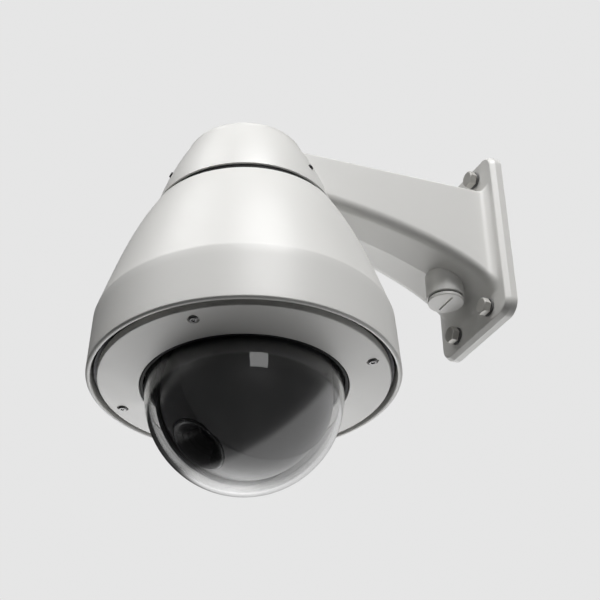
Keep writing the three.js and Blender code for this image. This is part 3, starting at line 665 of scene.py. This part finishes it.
def sun_shroud():
    """The thin outer shell: a rounded lip, a band, a bell and an almost flat top."""
    wall, top, crease = SHROUD["wall"], SHROUD["top"], SHROUD["crease"]
    foot = SHROUD["lip"] + 1
    edge = 1.5                         # the rounding of the shoulder
    band = [foot + (crease - foot) * k / 6 for k in range(6)]
    bell = [crease + (top - edge - crease) * k / 40 for k in range(41)]
    outer = [(shroud_radius(h), h) for h in band + bell]
    shoulder = arc((shroud_radius(top - edge) - edge, top - edge), edge, 25, 90, 4)
    inner = [(shroud_radius(h) - wall, h) for h in reversed(bell[:-2])]
    lip = [(114.3, 7.4), (114.3, 6.4), (114.55, 5.65), (115.1, 5.25), (115.9, 5.15), (116.8, 5.4),
           (117.5, 6.0), (117.85, 6.7)]
    neck = [(31.5, top), (31.5, top - 3), (shroud_radius(145) - wall, top - 3)]
    outline = lip + outer + shoulder + neck + inner + [(114.3, 9)]
    stands_for(smooth(turned("shroud_shell", outline, sides=192)), "sun_shroud")


def neck_gasket():
    low, high = SHROUD["top"] + GAP, CAP["bottom"] - GAP
    inner, outer = 34, 69.8
    section = rounded([(inner, low), (outer, low, 0.8), (outer, high, 0.8), (inner, high)])
    stands_for(smooth(turned("neck_seal", section, sides=160)), "neck_gasket")


def ring_screw_place(azimuth):
    rise = math.atan2(RING["rise"], RING["outer"] - RING["opening"])
    height = RING["rise"] * (RING_SCREW["r"] - RING["opening"]) / (RING["outer"] - RING["opening"])
    out = Matrix.Translation((RING_SCREW["r"] * MM, 0, height * MM))
    return DOME @ Matrix.Rotation(math.radians(azimuth), 4, "Z") @ out @ Matrix.Rotation(-rise, 4, "Y")


def trim_ring():
    opening, outer, rise = RING["opening"], RING["outer"], RING["rise"]
    skirt, thick = RING["skirt"], RING["thick"]
    inside = outer - RING["side"]
    section = rounded([(opening, 0, 0.7), (outer, rise, 1.0), (outer, skirt), (inside, skirt),
                       (inside, rise + thick), (opening + RING["lip"], thick), (opening, thick, 0.5)])
    ring = turned("trim_ring_cover", section, sides=192)
    tools = []
    for azimuth in RING_SCREW["azimuths"]:
        spot = ring_screw_place(azimuth)
        tools.append(cylinder("pocket", RING_SCREW["pocket"], -4, 1.2, spot, 40))
        tools.append(cylinder("hole", RING_SCREW["bore"], -2, 12, spot, 24))
    stands_for(smooth(carve(ring, tools)), "trim_ring")


def ring_screws():
    """Button screws with a six-lobed socket that has a pin in it."""
    lobes = [(1.55 + 0.3 * math.cos(6 * a), a) for a in (FULL_TURN * k / 48 for k in range(48))]
    star = [(r * math.cos(a), r * math.sin(a)) for r, a in lobes]
    head = RING_SCREW["head"]
    for k, azimuth in enumerate(RING_SCREW["azimuths"]):
        spot = ring_screw_place(azimuth)
        section = rounded([(0, -1.3), (head - 0.9, -1.3, 0.5), (head, -0.3, 0.6), (head, 0.9, 0.2),
                           (1.6, 0.9), (1.6, 10), (0, 10)])
        screw = turned(f"security_screw_{k + 1}", section, spot, 48)
        carve(screw, [slab("star", star, -2, 0, spot)])
        carve(screw, [cylinder("pin", 0.55, -0.9, 0.4, spot, 16)], "UNION")
        stands_for(smooth(screw), f"ring_screw_{k + 1}")


def dome_bubble():
    """The clear half ball, with a round shoulder and a flat flange above it."""
    centre, r, wall = BUBBLE["centre"], BUBBLE["outer"], BUBBLE["wall"]
    flange_r, low, high = BUBBLE["flange"], BUBBLE["low"], BUBBLE["high"]
    outer = [(0, centre - r)] + arc((0, centre), r, -90, 0, 48)[1:]
    shoulder = [(r, 3.4), (r + 0.4, 4.5), (r + 1.4, low)]
    flange = [(flange_r, low), (flange_r, high), (r - wall, high)]
    inner = arc((0, centre), r - wall, 0, -90, 48)[:-1] + [(0, centre - r + wall)]
    outline = outer + shoulder + flange + inner
    stands_for(smooth(turned("clear_bubble", outline, sides=160)), "dome_bubble")


def bubble_seal():
    """A black seal: a lip in the ring's opening, a web below the bubble's flange, a collar round it."""
    web, over = BUBBLE["low"] - GAP, BUBBLE["high"] + GAP
    collar = BUBBLE["flange"] + GAP
    seat = RING["thick"] + GAP
    edge = RING["opening"] + RING["lip"]
    slope = RING["rise"] / (RING["outer"] - RING["side"] - edge)
    outer, inner, lip, low = SEAL["outer"], SEAL["inner"], SEAL["lip"], SEAL["lip_low"]
    section = rounded([
        (inner, low, 0.5), (lip, low, 0.5), (lip, seat), (edge, seat),
        (outer, seat + slope * (outer - edge)), (outer, SEAL["top"]), (collar - 1.8, SEAL["top"]),
        (collar - 1.8, over), (collar, over), (collar, web), (inner + 0.6, web), (inner, web - 0.6),
    ])
    stands_for(smooth(turned("opening_seal", section, sides=160)), "bubble_gasket")


def inner_housing():
    """The cone that holds the works: a flange for the trim ring, a tapering wall and a neck."""
    outline = [
        (84, 10), (112, 10), (112, 13.5), (106, 13.5), (106, 50), (72, 136), (30.5, 136), (30.5, 147),
        (22.3, 147), (22.3, 133), (70.2, 133), (103, 49.5), (103, 13.5), (84, 13.5),
    ]
    housing = turned("housing_cone", outline, sides=128)
    hole = RING_SCREW["bore"]
    tools = [cylinder("hole", hole, -2, 16, ring_screw_place(a), 24) for a in RING_SCREW["azimuths"]]
    stands_for(smooth(carve(housing, tools)), "inner_housing")


# ---- eyeball: cheeks, drum and lens ---------------------------------------------------------


def cheek(side, name):
    """Half of the eyeball cover: a ball below the tilt axis and a straight skirt above it.

    The wall's section is an outline of (x, distance from the X axis). It sweeps down one side,
    round below the axis and up the other side.
    """
    outer, wall, slot = BALL["outer"], BALL["wall"], BALL["slot"]
    rise = BALL["top"] - BUBBLE["centre"]
    rim_angle = math.degrees(math.acos(slot / outer))
    inner_angle = math.degrees(math.acos(slot / (outer - wall)))
    steps, around = 28, 48             # along the wall's section, and round below the axis
    outer_path = arc((0, 0), outer, 0, rim_angle - 0.6, steps)
    inner_path = arc((0, 0), outer - wall, inner_angle - 0.6, 0, steps)
    lip = [(slot + 0.12, outer_path[-1][1] + 0.35), (slot, outer_path[-1][1] - 0.1),
           (slot, inner_path[0][1] + 0.4), (slot + 0.15, inner_path[0][1] + 0.1)]
    path = outer_path + lip + inner_path
    turn = [math.radians(180 + 180 * k / around) for k in range(around + 1)]
    bm = bmesh.new()
    loops = []
    for x, r in path:
        stations = [(side * x, -r, rise)]
        stations += [(side * x, r * math.cos(a), r * math.sin(a)) for a in turn]
        stations.append((side * x, r, rise))
        loops.append([bm.verts.new(p) for p in stations])
    for low, high in zip(loops, loops[1:]):
        for k in range(len(low) - 1):
            bm.faces.new((low[k], low[k + 1], high[k + 1], high[k]))
    bmesh.ops.remove_doubles(bm, verts=bm.verts, dist=1e-4)
    border = [edge for edge in bm.edges if edge.is_boundary]
    bmesh.ops.contextual_create(bm, geom=border)
    piece = object_from(bm, f"cover_cheek_{name}", TILT_AXIS)
    stands_for(smooth(piece), f"eyeball_cheek_{name}")


def camera_drum():
    """The part of the ball that tilts: a hollow barrel with round edges, cut off at the back."""
    r, wall, half, round_edge = DRUM["outer"], DRUM["wall"], DRUM["half"], DRUM["edge"]
    axle = DRUM["axle"]
    short = 2.4                        # degrees from the side at which the round edge starts
    edge = math.degrees(math.asin(half / r))
    inner_edge = math.degrees(math.asin((half - wall) / (r - wall)))
    side_r = r * math.cos(math.radians(edge))
    outline = arc((0, 0), r, short - edge, edge - short, 24)
    outline += arc((side_r - round_edge, half - round_edge), round_edge, 30, 90, 5)
    outline += [(axle, half), (axle, half - wall)]
    outline += arc((0, 0), r - wall, inner_edge, -inner_edge, 16)
    outline += [(axle, wall - half), (axle, -half)]
    outline += arc((side_r - round_edge, round_edge - half), round_edge, 270, 330, 5)
    drum = turned("lens_drum", outline, LENS @ SIDEWAYS, 160)
    tools = [
        slab("back", [(-70, -70), (70, -70), (70, 70), (-70, 70)], -80, DRUM["back"], LENS),
        cylinder("window", DRUM["lens"], 20, 70, LENS, 96),
    ]
    stands_for(smooth(carve(drum, tools)), "camera_drum")


def lens_parts():
    """Barrel, hood with its inner cone and steps, and the small front element, about the lens axis."""
    bore, barrel, mouth = LENS_BODY["bore"], LENS_BODY["barrel"], LENS_BODY["mouth"]
    element, back = LENS_BODY["element"], LENS_BODY["element_back"]
    lip = back + 3.7
    inside = bore - 0.7
    baffles = []
    for r, h in ((16.6, 55.4), (14.6, 52.5), (12.6, 49.6)):
        baffles += [(r, h, 0.1), (r - 0.35, h, 0.1)]
    hood = rounded([
        (inside, mouth + GAP), (21.2, mouth + GAP), (22, 57), (22, 59, 0.3), (21.2, 59.8, 0.4),
        (20, 59.8, 0.3), (19.2, 58.6, 0.2), (18.4, 58.2, 0.2), *baffles, (9.4, lip + 1.6, 0.2),
        (8, lip + 1.6, 0.3), (8, lip), (10.8, lip), (inside, mouth - 1.4),
    ])
    stands_for(smooth(turned("lens_hood", hood, LENS, 128)), "lens_ring", "hood")
    tube = [(bore, LENS_BODY["foot"]), (barrel, LENS_BODY["foot"]), (barrel, mouth), (bore, mouth)]
    stands_for(smooth(turned("lens_tube", tube, LENS, 96)), "lens_barrel")
    cell = [(element, back), (element, back + 2.9), (7.5, back + 2.7)]
    cell += arc((6.8, back + 2.7), 0.7, 0, 180, 8)
    glass = arc((0, back - 13.2), 17, 69, 90, 8)
    outline = cell + glass[:-1] + [(0, glass[-1][1]), (0, back - 1.5), (element / 2, back - 1)]
    stands_for(smooth(turned("front_element", outline, LENS, 96)), "front_glass")


# ---- carried-over CAD nodes -----------------------------------------------------------------


def dress_cad_nodes():
    """Every CAD node gets the finish of its slot; the shown ones keep their own shape."""
    for name, node in frame["nodes"].items():
        for slot in node.material_slots:
            slot.material = LOOKS[SLOT_OF[name]]


# ---- stage, lamps and camera ----------------------------------------------------------------


def studio():
    """A wide floor well below the object, as bright as the backdrop, so that its edge is not seen."""
    half, corner, top, thick = FLOOR["half"], FLOOR["corner"], FLOOR["top"], FLOOR["thick"]
    floor = slab("studio_floor", rounded_rect(half, half, corner), top - thick, top)
    paper = Look("floor_paper", (0, 0, 0), 1.0, specular=0.0)
    paper.shader.inputs["Base Color"].default_value = (0, 0, 0, 1)
    paper.shader.inputs["Emission Color"].default_value = (1, 1, 1, 1)
    paper.shader.inputs["Emission Strength"].default_value = ROOM["backdrop"]
    floor.data.materials.append(paper.material)
    floor.visible_diffuse = False          # too far below the object to send light back to it
    floor.visible_glossy = False
    floor.visible_transmission = False
    floor.visible_shadow = False


def direction(azimuth, elevation):
    a, e = math.radians(azimuth), math.radians(elevation)
    return Vector((math.cos(a) * math.cos(e), math.sin(a) * math.cos(e), math.sin(e)))


def world():
    """A pale grey backdrop, and soft lights in a dim room.

    Straight through the clear bubble the room is light, with a dark card behind the dome.
    """
    scene_world = bpy.data.worlds.new("studio")
    scene_world.use_nodes = True
    bpy.context.scene.world = scene_world
    nodes, links = scene_world.node_tree.nodes, scene_world.node_tree.links

    def put(value, socket):
        if isinstance(value, bpy.types.NodeSocket):
            links.new(value, socket)
        else:
            socket.default_value = value

    def math_node(operation, *values):
        node = nodes.new("ShaderNodeMath")
        node.operation = operation
        for socket, value in zip(node.inputs, values):
            put(value, socket)
        return node.outputs["Value"]

    def choose(switch, first, second):
        node = nodes.new("ShaderNodeMix")
        node.data_type = "FLOAT"
        put(switch, node.inputs["Factor"])
        put(first, node.inputs["A"])
        put(second, node.inputs["B"])
        return node.outputs["Result"]

    seen_along = nodes.new("ShaderNodeTexCoord").outputs["Generated"]
    rays = nodes.new("ShaderNodeLightPath").outputs

    def toward(azimuth, elevation):
        """Cosine of the angle between the ray and one direction."""
        node = nodes.new("ShaderNodeVectorMath")
        node.operation = "DOT_PRODUCT"
        node.inputs[1].default_value = direction(azimuth, elevation)
        links.new(seen_along, node.inputs[0])
        return node.outputs["Value"]

    def glow(azimuth, elevation, tightness, strength, under):
        fall = math_node("MULTIPLY_ADD", toward(azimuth, elevation), tightness, -tightness)
        return math_node("MULTIPLY_ADD", math_node("EXPONENT", fall), strength, under)

    sweep = nodes.new("ShaderNodeMapRange")
    sweep.interpolation_type = "SMOOTHSTEP"
    put(toward(SWEEP["azimuth"], SWEEP["elevation"]), sweep.inputs["Value"])
    sweep.inputs["From Min"].default_value = math.cos(math.radians(SWEEP["reach"] + SWEEP["edge"]))
    sweep.inputs["From Max"].default_value = math.cos(math.radians(SWEEP["reach"]))
    sweep.inputs["To Min"].default_value = ROOM["dim"]
    sweep.inputs["To Max"].default_value = ROOM["dim"] + SWEEP["light"]
    glows = 0.0
    for source in GLOWS:
        glows = glow(*source, glows)
    share = math_node("MULTIPLY_ADD", rays["Is Singular Ray"], GLOW_IN_MIRROR - 1, 1.0)
    lit = math_node("MULTIPLY_ADD", glows, share, sweep.outputs["Result"])

    bounces = math_node("ADD", rays["Diffuse Depth"], rays["Glossy Depth"])
    straight = math_node("LESS_THAN", bounces, 0.5)
    straight = math_node("MULTIPLY", straight, rays["Is Transmission Ray"])
    lit = choose(straight, lit, glow(*DARK_CARD, ROOM["through"]))
    lit = choose(rays["Is Camera Ray"], lit, ROOM["backdrop"])
    links.new(lit, nodes["Background"].inputs["Strength"])
    nodes["Background"].inputs["Color"].default_value = (1, 1, 1, 1)


def lamps():
    """Rectangular softboxes; light is what each one gives at the dome."""
    for name, azimuth, elevation, width, height, light in SOFTBOXES:
        data = bpy.data.lights.new(name, "AREA")
        data.shape = "RECTANGLE"
        data.size = 2 * LAMP_DISTANCE * math.tan(math.radians(width / 2))
        data.size_y = 2 * LAMP_DISTANCE * math.tan(math.radians(height / 2))
        data.energy = light * math.pi * LAMP_DISTANCE ** 2
        obj = bpy.data.objects.new(name, data)
        toward = direction(azimuth, elevation)
        obj.location = DOME_AT + LAMP_DISTANCE * toward
        obj.rotation_euler = toward.to_track_quat("Z", "Y").to_euler()
        obj.visible_camera = False
        obj.visible_transmission = False
        bpy.context.scene.collection.objects.link(obj)


def camera():
    """Below, to the right of and in front of the dome, looking up at it."""
    data = bpy.data.cameras.new("camera")
    data.lens = CAMERA["lens"]
    data.sensor_width = 36
    obj = bpy.data.objects.new("camera", data)
    ahead = direction(CAMERA["azimuth"], CAMERA["elevation"])
    turn = ahead.to_track_quat("-Z", "Y").to_matrix().to_4x4()
    roll = Matrix.Rotation(math.radians(CAMERA["roll"]), 4, "Z")
    obj.matrix_world = Matrix.Translation(CAMERA["at"]) @ turn @ roll
    bpy.context.scene.collection.objects.link(obj)
    bpy.context.scene.camera = obj


camera()
studio()
world()
lamps()

wall_arm()
wall_bolts()
cap_screws()
conduit_plug()
sun_shroud()
neck_gasket()
trim_ring()
ring_screws()
dome_bubble()
bubble_seal()
inner_housing()
cheek(1, "right")
cheek(-1, "left")
camera_drum()
lens_parts()
dress_cad_nodes()

bpy.context.scene.view_settings.view_transform = "Standard"
bpy.context.view_layer.update()
